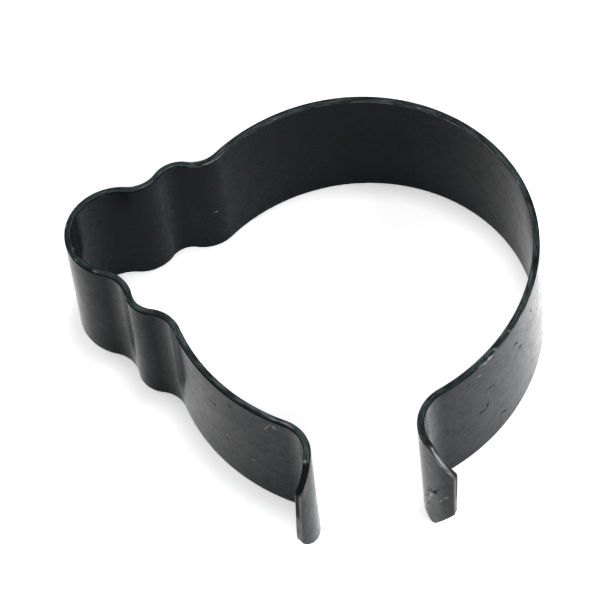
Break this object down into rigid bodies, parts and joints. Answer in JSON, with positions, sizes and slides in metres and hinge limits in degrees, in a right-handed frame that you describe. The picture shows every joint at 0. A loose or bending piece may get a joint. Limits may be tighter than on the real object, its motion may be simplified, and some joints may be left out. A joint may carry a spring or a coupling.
{
  "type": "wire clip",
  "caption": "Wire clip bent from flat spring strip: an open ring that snaps over a tube, flared lips at its mouth, and a lobed pocket that holds wires beside the tube.",
  "frame": {"origin": "centre of the tube seat's arc, half way up the strip's width", "axes": "+Z along the tube that the clip holds, which is across the strip; -X towards the wire pocket, parallel to its middle line; -Y on the side where the ring is open. The clip stands on its lower long edge."},
  "size_m": [0.0417, 0.0404, 0.0126],
  "materials": {
    "blackened_steel": "blackened spring strip, semi-gloss, with a lighter sheared edge"
  },
  "bodies": {
    "root": {"spring_strip": "blackened_steel"}
  },
  "joints": []
}
